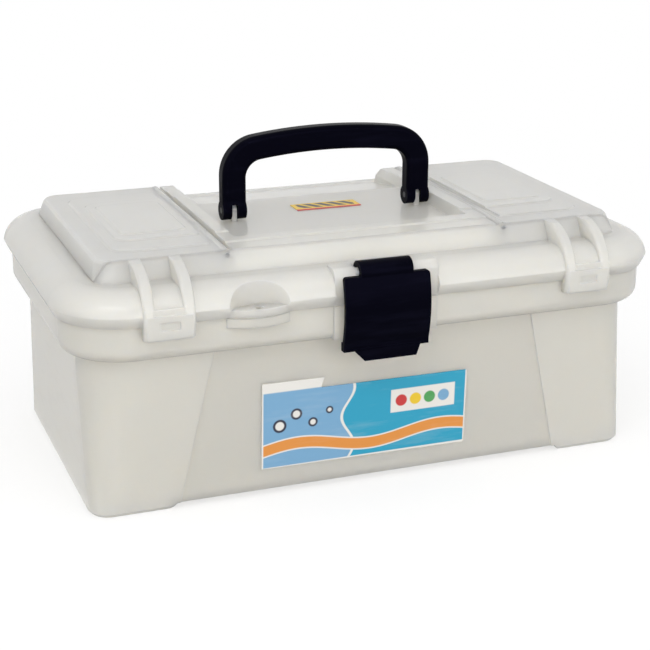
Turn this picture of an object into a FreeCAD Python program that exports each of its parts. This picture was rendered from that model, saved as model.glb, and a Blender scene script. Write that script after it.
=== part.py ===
import FreeCAD, Part
import math
import os
import re

import Sketcher
from FreeCAD import Placement, Rotation, Vector

# Art supply storage box in millimetres: X along the length, front towards -Y, Z up, origin under the middle.
doc = FreeCAD.newDocument("storage_box")
sheet = doc.addObject("Spreadsheet::Sheet", "sizes")

SIZES = {
    # how far cutters run past, and how far fittings sink into what carries them
    "overshoot": 10.0, "bite": 0.5,
    # bin
    "foot_length": 281.0, "foot_depth": 151.0, "foot_corner": 10.0, "foot_edge": 2.0,
    "wall_length": 282.2, "wall_depth": 156.0, "wall_corner": 26.0, "wall_top": 80.0,
    "bin_wall": 2.4, "foot_rise": 3.0, "foot_inner": 103.0,
    "collar_length": 297.0, "collar_depth": 171.0, "collar_corner": 30.0,
    "collar_bottom": 78.0, "collar_round": 6.0, "parting": 95.3, "collar_top": 98.3,
    "panel_low": 99.0, "panel_high": 81.0, "panel_sink": 1.0,
    # lid
    "lid_length": 305.0, "lid_depth": 179.0, "lid_corner": 34.0, "lid_bottom": 95.6,
    "shoulder_top": 111.5, "shoulder_round": 13.0, "skirt_draft": 2.7, "skirt_knee": 101.5, "skirt_wall": 3.4,
    "seat_height": 98.6, "ceiling": 109.1, "ceiling_length": 294.0, "ceiling_depth": 168.0,
    "ceiling_corner": 28.5, "ceiling_round": 8.0,
    "deck_length": 266.6, "deck_depth": 140.7, "deck_corner": 8.5, "deck_root": 110.5,
    "end_lean": 0.26, "front_lean": 0.53, "deck_top": 120.6, "deck_edge": 1.2, "deck_step": 0.7,
    "step_slope": 1.0,
    "first_length": 242.0, "first_depth": 105.0, "first_corner": 9.0,
    "second_length": 231.0, "second_depth": 73.0, "second_corner": 7.0,
    "groove_width": 0.9, "groove_depth": 0.9,
    # organizer wells and covers
    "well_inner": 76.0, "well_outer": 127.0, "well_half": 60.2, "well_floor": 101.2, "well_wall": 1.8,
    "divider_place": 20.0, "divider_wall": 1.6, "divider_top": 116.5,
    "seat_inner": 67.3, "seat_outer": 73.6, "seat_half": 64.3, "cover_gap": 0.4, "cover_wall": 2.0,
    "cover_lip": 1.5, "cover_corner": 5.5, "cover_ceiling": 118.4, "cover_start": 74.4, "cover_step": 75.0,
    "hinge_line": 70.5, "hinge_height": 118.6, "barrel": 2.6, "cover_pin": 1.0,
    "cover_bore": 1.06, "cover_pin_reach": 65.8, "hinge_nick": 1.2,
    "panel_middle": 95.0, "panel_length": 33.0, "panel_depth": 57.0, "panel_corner": 4.0, "panel_rise": 0.6,
    # handle
    "bay_half": 58.0, "bay_front": 41.5, "bay_floor": 116.6, "bay_under": 114.2, "bay_margin": 8.0,
    "bay_lean": 0.55, "bay_ramp": 36.0,
    "handle_shift": 2.4, "leg_offset": 49.6, "leg_width": 12.2, "leg_depth": 9.6, "handle_round": 2.4,
    "pivot_height": 122.0, "outer_bend": 20.0, "inner_bend": 9.0, "crown": 280.0, "handle_top": 161.7,
    "grip_thick": 12.2, "lug_half": 1.3, "lug_round": 2.9,
    "lug_bore": 1.55, "handle_pin": 1.5, "slot_half": 1.6, "slot_top": 125.4,
    # latch
    "latch_shift": 1.0, "latch_pivot_y": 84.6, "latch_pivot_z": 110.0, "latch_bar": 2.4, "latch_bore": 2.47,
    "knuckle": 5.5, "knuckle_half": 13.0, "notch": 6.2, "notch_half": 14.2, "notch_wall": 2.4,
    "bar_bite": 0.2,
    "latch_half": 21.4, "latch_front": 92.6, "latch_bow": 55.0, "latch_plate": 2.4, "latch_middle": 92.0,
    "latch_low": 73.5, "latch_high": 109.3, "latch_corner": 1.5,
    "neck_front": 90.0, "neck_back": 87.8, "neck_low": 105.0, "mouth_top": 108.3,
    "lip_root": 90.4, "lip_reach": 86.6, "lip_top": 77.6,
    "tab_low": 70.2, "tab_half": 17.0, "tab_end": 13.0, "tab_root": 1.0, "tab_root_front": 91.4,
    "tab_front": 95.5, "tab_plate": 2.4,
    "latch_seat_half": 26.0, "latch_seat_front": 87.2, "latch_seat_back": 77.0, "latch_seat_top": 112.6,
    "latch_seat_round": 4.0,
    "keeper_half": 18.0, "keeper_front": 87.9, "keeper_top": 82.5, "boss_front": 87.0, "boss_low": 79.0,
    # straps and padlock ledge
    "strap_offset": 104.8, "strap_half": 12.0, "rib_width": 5.5, "rib_radius": 24.0, "rib_round": 1.6,
    "rib_y": 67.0, "rib_z": 97.2, "strap_front": 91.0, "strap_ledge": 104.0, "strap_tab_half": 10.5,
    "strap_tab_low": 89.8, "strap_tab_back": 86.4, "strap_tab_high": 101.0,
    "ledge_inset": 0.5, "ledge_front": 90.0,
    "window_half": 4.5, "window_sink": 0.8, "window_low": 94.3, "window_high": 97.8,
    "lock_offset": 62.6, "lock_half": 15.0, "lock_arc": 27.0, "lock_front": 91.2, "lock_bore": 2.0,
    "lock_bore_y": 87.8, "lock_recess": 18.0, "lock_recess_y": 100.0, "lock_floor": 99.4,
    "lock_ledge_low": 90.8, "lock_wall": 2.2,
    # rear hinge
    "rear_hinge_y": 91.9, "rear_hinge_offset": 85.0, "rear_barrel": 3.6, "rear_pin": 1.5, "rear_bore": 1.56,
    "rear_lid_half": 8.0, "rear_split": 0.3, "rear_half": 18.0, "web_gap": 0.4,
    # stickers
    "label_length": 106.0, "label_height": 38.8, "label_thick": 0.3, "label_x": -5.0, "label_z": 32.7,
    "label_turn": 0.4, "label_flag": 31.0, "label_flag_rise": 5.0, "label_flag_slant": 1.6,
    "sticker_length": 35.0, "sticker_depth": 12.0, "sticker_thick": 0.25, "sticker_x": 7.0,
    "sticker_y": 12.0, "paper_gap": 0.05,
}

for row, (alias, value) in enumerate(SIZES.items(), start=1):
    sheet.set(f"A{row}", alias.replace("_", " "))
    sheet.set(f"B{row}", str(value))
    sheet.setAlias(f"B{row}", alias)
doc.recompute()

ALONG_X = Rotation(Vector(0, 1, 0), 90)
ALONG_Y = Rotation(Vector(1, 0, 0), -90)
ALONG_Z = Rotation()
SIDES = {"left": -1, "right": 1}
TOUCH = 0.01


def bound(text):
    """Turn a formula in size names into an expression on the sheet."""
    return re.sub(r"[a-z][a-z_]*", lambda word: "sizes." + word.group(), str(text))


def bind(item, **formulas):
    """Bind properties of an object; a double underscore stands for a dot."""
    for name, formula in formulas.items():
        item.setExpression(name.replace("__", "."), bound(formula))
    return item


def place(item, x, y, z):
    return bind(item, Placement__Base__x=x, Placement__Base__y=y, Placement__Base__z=z)


def slab(name, xs, ys, zs):
    """A box between two formulas on each axis."""
    box = doc.addObject("Part::Box", name)
    bind(box, Length=f"({xs[1]}) - ({xs[0]})", Width=f"({ys[1]}) - ({ys[0]})",
         Height=f"({zs[1]}) - ({zs[0]})")
    return place(box, xs[0], ys[0], zs[0])


def rod(name, radius, start, length, turn):
    """A cylinder from a start point along the axis that turn gives it."""
    cylinder = doc.addObject("Part::Cylinder", name)
    cylinder.Placement = Placement(Vector(), turn)
    bind(cylinder, Radius=radius, Height=length)
    return place(cylinder, *start)


def fuse(name, shapes):
    joined = doc.addObject("Part::MultiFuse", name)
    joined.Shapes = shapes
    joined.Refine = True
    return joined


def cut(name, base, tools):
    removed = tools[0] if len(tools) == 1 else fuse(name + "_tools", tools)
    result = doc.addObject("Part::Cut", name)
    result.Base = base
    result.Tool = removed
    result.Refine = True
    return result


def common(name, first, second):
    result = doc.addObject("Part::Common", name)
    result.Base = first
    result.Tool = second
    return result


def region(name, whole, xs, ys, zs):
    """The part of a shape that lies in a box."""
    return common(name, whole, slab(name + "_box", xs, ys, zs))


def span(side, inner, outer):
    """The X limits of something between two distances from the middle, on one side."""
    return (inner, outer) if side > 0 else (f"-({outer})", f"-({inner})")


def both(half):
    return (f"-({half})", half)


def around(middle, half):
    return (f"({middle}) - ({half})", f"({middle}) + ({half})")


def origin_plane(body, role):
    return next(item for item in body.Origin.OriginFeatures if item.Role == role)


def new_sketch(body, name, role):
    sketch = body.newObject("Sketcher::SketchObject", name)
    sketch.AttachmentSupport = [(origin_plane(body, role), "")]
    sketch.MapMode = "FlatFace"
    return sketch


def limit(sketch, kind, places, formula, drawn):
    """Add a sized constraint, first at the size drawn, and bind it to the sheet."""
    index = sketch.addConstraint(Sketcher.Constraint(kind, *places, drawn))
    sketch.setExpression(f"Constraints[{index}]", bound(formula))


def rounded_loop(sketch, length, depth, corner, drawn=(140.0, 80.0, 20.0)):
    """A rectangle with rounded corners about the sketch's origin, first drawn at a size near its own."""
    half_x, half_y, radius = drawn
    ends = [((-half_x + radius, -half_y), (half_x - radius, -half_y)),
            ((half_x, -half_y + radius), (half_x, half_y - radius)),
            ((half_x - radius, half_y), (-half_x + radius, half_y)),
            ((-half_x, half_y - radius), (-half_x, -half_y + radius))]
    for start, end in ends:
        sketch.addGeometry(Part.LineSegment(Vector(*start, 0), Vector(*end, 0)))
    corners = [(1, -1), (1, 1), (-1, 1), (-1, -1)]
    for turn, (side_x, side_y) in enumerate(corners):
        centre = Vector(side_x * (half_x - radius), side_y * (half_y - radius), 0)
        first = math.radians(90 * turn - 90)
        sketch.addGeometry(Part.ArcOfCircle(Part.Circle(centre, Vector(0, 0, 1), radius), first,
                                            first + math.pi / 2))
    for turn in range(4):
        sketch.addConstraint(Sketcher.Constraint("Tangent", turn, 2, 4 + turn, 1))
        sketch.addConstraint(Sketcher.Constraint("Tangent", 4 + turn, 2, (turn + 1) % 4, 1))
    for level, upright in ((0, 1), (2, 3)):
        sketch.addConstraint(Sketcher.Constraint("Horizontal", level))
        sketch.addConstraint(Sketcher.Constraint("Vertical", upright))
    for arc in (5, 6, 7):
        sketch.addConstraint(Sketcher.Constraint("Equal", 4, arc))
    limit(sketch, "Radius", (4,), corner, radius)
    limit(sketch, "DistanceX", (-1, 1, 1, 1), f"({length}) / 2", half_x)
    limit(sketch, "DistanceX", (3, 1, -1, 1), f"({length}) / 2", half_x)
    limit(sketch, "DistanceY", (-1, 1, 2, 1), f"({depth}) / 2", half_y)
    limit(sketch, "DistanceY", (0, 1, -1, 1), f"({depth}) / 2", half_y)


def loop_at(body, name, height, length, depth, corner):
    sketch = new_sketch(body, name, "XY_Plane")
    bind(sketch, AttachmentOffset__Base__z=height)
    rounded_loop(sketch, length, depth, corner)
    return sketch


def pad_loop(body, name, low, high, size):
    pad = body.newObject("PartDesign::Pad", name)
    pad.Profile = loop_at(body, name + "_loop", low, *size)
    bind(pad, Length=f"({high}) - ({low})")
    return pad


def loft_loops(body, name, low, low_size, high, high_size):
    loft = body.newObject("PartDesign::AdditiveLoft", name)
    loft.Profile = loop_at(body, name + "_low", low, *low_size)
    loft.Sections = [loop_at(body, name + "_high", high, *high_size)]
    return loft


def edges_at(shape, place, axis="Z"):
    """Names of the edges that lie at one place on an axis."""
    found = []
    for number, edge in enumerate(shape.Edges, start=1):
        ends = (getattr(edge.BoundBox, axis + "Min"), getattr(edge.BoundBox, axis + "Max"))
        if all(abs(end - place) < TOUCH for end in ends):
            found.append(f"Edge{number}")
    return found


def edges_along(shape, axis):
    """Names of the straight edges that run along an axis."""
    others = [other for other in "XYZ" if other != axis]
    return [f"Edge{number}" for number, edge in enumerate(shape.Edges, start=1)
            if all(getattr(edge.BoundBox, other + "Length") < TOUCH for other in others)]


def soften(name, base, edges, radius):
    """Round some edges of a primitive by a size on the sheet."""
    soft = doc.addObject("Part::Fillet", name)
    soft.Base = base
    soft.Edges = [(int(edge.removeprefix("Edge")), getattr(sheet, radius), getattr(sheet, radius))
                  for edge in edges]
    return soft


def fillet(body, base, name, edges, radius):
    rounded = body.newObject("PartDesign::Fillet", name)
    rounded.Base = (base, edges)
    bind(rounded, Radius=radius)
    doc.recompute()
    return rounded


def round_edges(body, base, name, height, radius):
    """Fillet the level edges of a feature at a height read from the sheet."""
    doc.recompute()
    return fillet(body, base, name, edges_at(base.Shape, height), radius)


def inset(length, depth, corner, wall):
    return (f"{length} - 2 * ({wall})", f"{depth} - 2 * ({wall})", f"{corner} - ({wall})")


def rear_hinge(name, side, spans, web_z, web_y):
    """Barrels of one rear hinge, each with a web back to its own shell."""
    pieces = []
    for number, (start, end) in enumerate(spans, start=1):
        low = f"{side} * rear_hinge_offset + ({start})"
        high = f"{side} * rear_hinge_offset + ({end})"
        pieces.append(rod(f"{name}_barrel_{number}", "rear_barrel", (low, "rear_hinge_y", "parting"),
                          f"({end}) - ({start})", ALONG_X))
        pieces.append(slab(f"{name}_web_{number}", (low, high), (web_y, "rear_hinge_y"), web_z))
    return pieces


def rear_bore(name, side, radius):
    return rod(name, radius, (f"{side} * rear_hinge_offset - rear_half", "rear_hinge_y", "parting"),
               "2 * rear_half", ALONG_X)


FOOT_LOOP = ("foot_length", "foot_depth", "foot_corner")
WALL_LOOP = ("wall_length", "wall_depth", "wall_corner")
COLLAR_LOOP = ("collar_length", "collar_depth", "collar_corner")
LID_LOOP = ("lid_length", "lid_depth", "lid_corner")
DECK_LOOP = ("deck_length", "deck_depth", "deck_corner")
INSIDE_LOOP = ("deck_length - 2 * cover_wall", "deck_depth - 2 * cover_wall", "cover_corner")
FIRST_LOOP = ("first_length", "first_depth", "first_corner")
SECOND_LOOP = ("second_length", "second_depth", "second_corner")
PANEL_LOOP = ("panel_length", "panel_depth", "panel_corner")
ABOVE = "deck_top + overshoot"
CEILING_LOOP = ("ceiling_length", "ceiling_depth", "ceiling_corner")
LATCH_X = "-latch_shift"


def lock_ledge(name, wall, zs):
    """The bowed ledge that a padlock goes through, standing on the wall at that distance."""
    disc = rod(name + "_disc", "lock_arc", ("-lock_offset", "lock_arc - lock_front", zs[0]),
               f"({zs[1]}) - ({zs[0]})", ALONG_Z)
    front = slab(name + "_front", around("-lock_offset", "lock_half"),
                 ("-lock_front", f"bite - ({wall})"), zs)
    return common(name, disc, front)


def lock_bore(name):
    return rod(name, "lock_bore", ("-lock_offset", "-lock_bore_y", "lock_ledge_low - overshoot / 2"),
               "lock_floor - lock_ledge_low + overshoot", ALONG_Z)


def front_panel(name, side):
    """A wedge that sinks the middle of the front or back wall between two corner pillars."""
    wedge = doc.addObject("Part::Wedge", name)
    wedge.Placement = Placement(Vector(), Rotation(Vector(1, 0, 0), 90))
    slope = "(wall_depth - foot_depth) / 2 / wall_top"
    low = "foot_depth / 2 - panel_sink"
    high = f"foot_depth / 2 + collar_bottom * ({slope}) - panel_sink"
    bind(wedge, Xmin="-panel_low", Xmax="panel_low", X2min="-panel_high", X2max="panel_high",
         Ymin="0", Ymax="collar_bottom")
    if side < 0:
        bind(wedge, Zmin=low, Z2min=high, Zmax="collar_depth", Z2max="collar_depth")
    else:
        bind(wedge, Zmin="-collar_depth", Z2min="-collar_depth", Zmax=f"-({low})", Z2max=f"-({high})")
    return wedge


def make_base_bin():
    outer = doc.addObject("PartDesign::Body", "bin_outer")
    loft_loops(outer, "foot_bevel", "0", inset(*FOOT_LOOP, "foot_edge"), "foot_edge", FOOT_LOOP)
    loft_loops(outer, "bin_walls", "foot_edge", FOOT_LOOP, "wall_top", WALL_LOOP)
    collar_body = doc.addObject("PartDesign::Body", "bin_collar")
    collar = pad_loop(collar_body, "collar", "collar_bottom", "collar_top", COLLAR_LOOP)
    round_edges(collar_body, collar, "collar_edge", sheet.collar_bottom, "collar_round")

    floor = "foot_rise + bin_wall"
    inner = doc.addObject("PartDesign::Body", "bin_inside")
    loft_loops(inner, "inside_walls", floor, inset(*FOOT_LOOP, "bin_wall"),
               "wall_top + bin_wall", inset(*WALL_LOOP, "bin_wall"))
    rim = doc.addObject("PartDesign::Body", "collar_inside")
    pad_loop(rim, "collar_hollow", "collar_bottom + bin_wall", "collar_top + overshoot",
             inset(*COLLAR_LOOP, "bin_wall"))

    under = doc.addObject("PartDesign::Body", "bin_underside")
    sketch = new_sketch(under, "underside_outline", "XZ_Plane")
    rise, inner_end = sheet.foot_rise, sheet.foot_inner
    level_end = inner_end - rise
    corners = [(-inner_end, 0), (-level_end, rise), (level_end, rise), (inner_end, 0)]
    for start, end in zip(corners, corners[1:] + corners[:1]):
        sketch.addGeometry(Part.LineSegment(Vector(*start, 0), Vector(*end, 0)))
    for line in range(4):
        sketch.addConstraint(Sketcher.Constraint("Coincident", line, 2, (line + 1) % 4, 1))
    sketch.addConstraint(Sketcher.Constraint("Horizontal", 1))
    for end in (1, 2):
        sketch.addConstraint(Sketcher.Constraint("PointOnObject", 3, end, -1))
    limit(sketch, "DistanceX", (0, 1, -1, 1), "foot_inner", inner_end)
    limit(sketch, "DistanceX", (-1, 1, 3, 1), "foot_inner", inner_end)
    limit(sketch, "DistanceX", (0, 2, -1, 1), "foot_inner - foot_rise", level_end)
    limit(sketch, "DistanceX", (-1, 1, 1, 2), "foot_inner - foot_rise", level_end)
    limit(sketch, "DistanceY", (-1, 1, 1, 1), "foot_rise", rise)
    pad = under.newObject("PartDesign::Pad", "underside")
    pad.Profile = sketch
    pad.Midplane = True
    bind(pad, Length="2 * collar_depth")

    shell = cut("bin_shell", fuse("bin_solid", [outer, collar_body]),
                [inner, rim, under, front_panel("front_panel", -1), front_panel("back_panel", 1)])
    well_ends = ("foot_inner + bin_wall", "foot_length / 2 - bin_wall - foot_corner")
    wells = [slab(f"{name}_foot_well", span(side, *well_ends),
                  both("foot_depth / 2 - bin_wall - foot_corner"), ("bin_wall", floor))
             for name, side in SIDES.items()]
    front = ("-keeper_front", "-(collar_depth / 2 - bin_wall)")
    added = [lock_ledge("bin_lock_ledge", "collar_depth / 2", ("lock_ledge_low", "parting")),
             slab("latch_keeper", around(LATCH_X, "keeper_half"), front, ("collar_bottom", "keeper_top")),
             slab("latch_boss", both("latch_seat_half"), ("-boss_front", front[1]), ("boss_low", "parting"))]
    for name, side in SIDES.items():
        spans = [("-rear_half", "-rear_lid_half - rear_split"), ("rear_lid_half + rear_split", "rear_half")]
        added += rear_hinge(f"{name}_bin_hinge", side, spans, ("parting - rear_barrel", "parting - web_gap"),
                            "collar_depth / 2 - bin_wall")
    bores = [lock_bore("bin_lock_hole")]
    bores += [rear_bore(f"{name}_bin_hinge_bore", side, "rear_pin") for name, side in SIDES.items()]
    return cut("base_bin", fuse("bin_with_fittings", [shell] + added), wells + bores)


def strap(name, side):
    """Two curved ribs, a flat ledge between them and a tab that hangs over the collar."""
    middle = f"{side} * strap_offset"
    pieces = []
    for label, start in (("inner", "-strap_half"), ("outer", "strap_half - rib_width")):
        rib = rod(f"{name}_{label}_rib", "rib_radius", (f"{middle} + ({start})", "-rib_y", "rib_z"),
                  "rib_width", ALONG_X)
        doc.recompute()
        rims = [edge for vertex in rib.Shape.Vertexes for edge in edges_at(rib.Shape, vertex.X, "X")]
        pieces.append(soften(f"{name}_{label}_soft_rib", rib, rims, "rib_round"))
    pieces.append(slab(f"{name}_ledge", around(middle, "strap_half - ledge_inset"),
                       ("-ledge_front", "-(rib_y + overshoot)"), ("lid_bottom", "strap_ledge")))
    pieces.append(slab(f"{name}_tab", around(middle, "strap_tab_half"), ("-strap_front", "-strap_tab_back"),
                       ("strap_tab_low", "strap_tab_high")))
    blocks = fuse(f"{name}_strap_blocks", pieces)
    return region(f"{name}_strap", blocks, around(middle, "strap_half + overshoot"),
                  ("-strap_front", "-seat_half"), ("strap_tab_low", "deck_top"))


def well_cuts(name, side):
    """Three compartments of one organizer well and the trough of its cover's hinge."""
    across = span(side, "well_inner", "well_outer")
    edges = ["-well_half", "-divider_place", "divider_place", "well_half"]
    half_wall = "divider_wall / 2"
    tools = []
    for number in range(3):
        low = edges[number] if number == 0 else f"{edges[number]} + {half_wall}"
        high = edges[number + 1] if number == 2 else f"{edges[number + 1]} - {half_wall}"
        tools.append(slab(f"{name}_compartment_{number + 1}", across, (low, high),
                          ("well_floor", "divider_top + bite")))
    slot = ("cover_ceiling - cover_gap", ABOVE)
    tools.append(slab(f"{name}_hinge_slot", span(side, "seat_inner", "seat_outer + bite"), both("seat_half"),
                      slot))
    tools.append(slab(f"{name}_hinge_nick", span(side, "seat_inner", "seat_inner + hinge_nick"),
                      ("0", "lid_depth / 2"), slot))
    tools.append(rod(f"{name}_hinge_trough", "barrel + cover_gap",
                     (f"{side} * hinge_line", "-seat_half", "hinge_height"), "2 * seat_half", ALONG_Y))
    tools.append(cover_pin_rod(f"{name}_cover_pin_bore", side))
    return tools


def cover_pin_rod(name, side):
    return rod(name, "cover_pin", (f"{side} * hinge_line", "-cover_pin_reach", "hinge_height"),
               "2 * cover_pin_reach", ALONG_Y)


def latch_rod(name, radius, half):
    """A cylinder about the latch's hinge axis."""
    return rod(name, radius, (f"{LATCH_X} - ({half})", "-latch_pivot_y", "latch_pivot_z"), f"2 * ({half})",
               ALONG_X)


def latch_seat():
    """The flat pad with a rounded top edge that the latch closes against."""
    wide = both("latch_seat_half")
    round_y = "latch_seat_round - latch_seat_front"
    round_z = "latch_seat_top - latch_seat_round"
    return [slab("latch_seat_face", wide, ("-latch_seat_front", "-latch_seat_back"), ("lid_bottom", round_z)),
            slab("latch_seat_roof", wide, (round_y, "-latch_seat_back"), (round_z, "latch_seat_top")),
            rod("latch_seat_edge", "latch_seat_round", (wide[0], round_y, round_z), "2 * latch_seat_half",
                ALONG_X)]


def soft_step(name, height, rise, loop):
    """A low step with a sloping edge that crosses the given height at the loop's size."""
    body = doc.addObject("PartDesign::Body", name)
    loft_loops(body, name + "_slope", f"({height}) - ({rise})", inset(*loop, "-step_slope"),
               f"({height}) + ({rise})", inset(*loop, "step_slope"))
    return body


def leaning_block(name, top, loop):
    """A block that stands on the shoulder, with leaning sides and a broken top edge."""
    body = doc.addObject("PartDesign::Body", name)
    length, depth, corner = loop
    rim = f"{top} - deck_edge"
    rim_loop = (f"{length} - 2 * end_lean * ({rim} - deck_root)",
                f"{depth} - 2 * front_lean * ({rim} - deck_root)", corner)
    loft_loops(body, name + "_sides", "deck_root", loop, rim, rim_loop)
    loft_loops(body, name + "_edge", rim, rim_loop, top, inset(*rim_loop, "deck_edge"))
    return body


def make_top_forms():
    """What the lid's middle and its covers are cut from: the raised deck, its inside and two steps."""
    return {"deck": leaning_block("raised_deck", "deck_top", DECK_LOOP),
            "inside": leaning_block("deck_inside", "cover_ceiling", INSIDE_LOOP),
            "first": soft_step("first_step", "deck_top", "deck_step", FIRST_LOOP),
            "second": soft_step("second_step", "deck_top + deck_step", "deck_step", SECOND_LOOP)}


def bay_cuts():
    """The handle's bay between the covers: leaning walls and a floor that ramps down to the rear."""
    lean = f"bay_lean * ({ABOVE} - bay_floor)"
    bay = doc.addObject("Part::Wedge", "handle_bay")
    bay.Placement = Placement(Vector(), Rotation(Vector(1, 0, 0), 90))
    bind(bay, Xmin="-bay_half", Xmax="bay_half", X2min=f"-(bay_half + {lean})", X2max=f"bay_half + {lean}",
         Ymin="bay_floor", Ymax=ABOVE, Zmin="-lid_depth / 2", Z2min="-lid_depth / 2",
         Zmax="bay_front", Z2max=f"bay_front + {lean}")
    ramp = doc.addObject("Part::Box", "bay_ramp")
    fall = math.atan2(sheet.bay_floor - sheet.shoulder_top, sheet.deck_depth / 2 - sheet.bay_ramp)
    ramp.Placement = Placement(Vector(), Rotation(Vector(1, 0, 0), -math.degrees(fall)))
    bind(ramp, Length="2 * bay_half", Width="deck_depth / 2 - bay_ramp + bite", Height="overshoot")
    return [bay, place(ramp, "-bay_half", "bay_ramp", "bay_floor")]


def make_main_lid(forms):
    outer = doc.addObject("PartDesign::Body", "lid_outer")
    ring = pad_loop(outer, "shoulder", "lid_bottom", "shoulder_top", LID_LOOP)
    round_edges(outer, ring, "shoulder_edge", sheet.shoulder_top, "shoulder_round")
    draft = doc.addObject("PartDesign::Body", "lid_draft")
    flare = "skirt_draft * (shoulder_top - skirt_knee) / (skirt_knee - lid_bottom)"
    loft_loops(draft, "skirt_taper", "lid_bottom", inset(*LID_LOOP, "skirt_draft"), "shoulder_top",
               inset(*LID_LOOP, f"-({flare})"))
    flat = slab("latch_seat_cut", both("latch_seat_half"), ("-lid_depth", "-latch_seat_front"),
                ("lid_bottom", "shoulder_top"))
    ring = cut("lid_ring", common("lid_skirt", outer, draft), [flat])
    height = ("deck_root", ABOVE)
    middle = region("lid_deck_middle", forms["deck"], both("seat_outer"), both("lid_depth / 2"), height)
    strip = region("lid_front_strip", forms["deck"], both("lid_length / 2"), ("-lid_depth / 2", "-seat_half"),
                   height)
    envelope = fuse("lid_envelope", [ring, middle, strip] + latch_seat())

    ceiling = doc.addObject("PartDesign::Body", "lid_ceiling")
    roof = pad_loop(ceiling, "ceiling_hollow", "seat_height - overshoot", "ceiling", CEILING_LOOP)
    round_edges(ceiling, roof, "ceiling_edge", sheet.ceiling, "ceiling_round")
    mouth = doc.addObject("PartDesign::Body", "lid_mouth")
    pad_loop(mouth, "mouth_hollow", "lid_bottom - overshoot", "seat_height", inset(*LID_LOOP, "skirt_wall"))

    steps = [region(f"{name}_deck_step", forms[name], both("seat_inner"), both("lid_depth / 2"), height)
             for name in ("first", "second")]
    straps = [strap(name, side) for name, side in SIDES.items()]
    shell = cut("lid_shell", fuse("lid_solid", [envelope] + steps + straps), [ceiling, mouth])
    tabs = [slab(f"{name}_hanging_tab", around(f"{side} * strap_offset", "strap_tab_half"),
                 ("-strap_front", "-strap_tab_back"), ("strap_tab_low", "seat_height"))
            for name, side in SIDES.items()]

    wells = [slab(f"{name}_well_block", span(side, "seat_outer - bite", "well_outer + well_wall"),
                  both("well_half + well_wall"), ("well_floor - well_wall", "divider_top"))
             for name, side in SIDES.items()]
    wells += [slab(f"{name}_hinge_wall", span(side, "seat_outer - bite", "well_inner"),
                   both("well_half + well_wall"), ("deck_root", "cover_ceiling - cover_gap"))
              for name, side in SIDES.items()]
    lock_wall = rod("lock_recess_wall", "lock_recess + lock_wall",
                    ("-lock_offset", "-lock_recess_y", "seat_height"), "shoulder_top - seat_height", ALONG_Z)
    latch_block = slab("latch_block", around(LATCH_X, "notch_half + notch_wall"),
                       ("-lid_depth / 2", "notch_wall + notch - latch_pivot_y"),
                       ("seat_height", "latch_seat_top"))
    backing = common("lid_backing", envelope, fuse("lid_blocks", [lock_wall, latch_block]))
    ledge = lock_ledge("lid_lock_ledge", "lid_depth / 2 - skirt_wall", ("lid_bottom", "lock_floor"))
    hinges = []
    for name, side in SIDES.items():
        hinges += rear_hinge(f"{name}_lid_hinge", side, [("-rear_lid_half", "rear_lid_half")],
                             ("lid_bottom + rear_split", "parting + rear_barrel"),
                             "lid_depth / 2 - skirt_wall + web_gap")

    tools = [slab("bay_underside", both("well_inner - well_wall - bay_margin"), ("-well_half", "bay_ramp"),
                  ("seat_height", "bay_under")),
             slab("front_groove", both("seat_outer + bite"), ("-seat_half", "groove_width - seat_half"),
                  ("deck_top - groove_depth", ABOVE)),
             rod("lock_recess", "lock_recess", ("-lock_offset", "-lock_recess_y", "lock_floor"),
                 "deck_top - lock_floor", ALONG_Z),
             lock_bore("lid_lock_hole"),
             latch_rod("latch_notch", "notch", "notch_half")] + bay_cuts()
    for name, side in SIDES.items():
        tools += well_cuts(name, side)
        tools.append(rear_bore(f"{name}_lid_hinge_bore", side, "rear_bore"))
        tools.append(slab(f"{name}_tab_window", around(f"{side} * strap_offset", "window_half"),
                          ("-strap_front - overshoot", "window_sink - strap_front"),
                          ("window_low", "window_high")))
    fittings = fuse("lid_with_fittings", [shell, backing, ledge] + wells + tabs + hinges)
    moulded = cut("lid_moulded", fittings, tools)

    bar = latch_rod("latch_bar", "latch_bar", "notch_half + bar_bite")
    lugs = []
    for name, side in SIDES.items():
        thick = around(leg_middle(side), "lug_half")
        post = slab(f"{name}_lug_post", thick, both("lug_round"), ("bay_floor - bite", "pivot_height"))
        head = rod(f"{name}_lug_head", "lug_round", (thick[0], "0", "pivot_height"), "2 * lug_half", ALONG_X)
        hole = rod(f"{name}_lug_bore", "lug_bore", (f"{thick[0]} - overshoot", "0", "pivot_height"),
                   "2 * (lug_half + overshoot)", ALONG_X)
        lugs.append(cut(f"{name}_lug", fuse(f"{name}_lug_solid", [post, head]), [hole]))
    return fuse("main_lid", [moulded, bar] + lugs)


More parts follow.
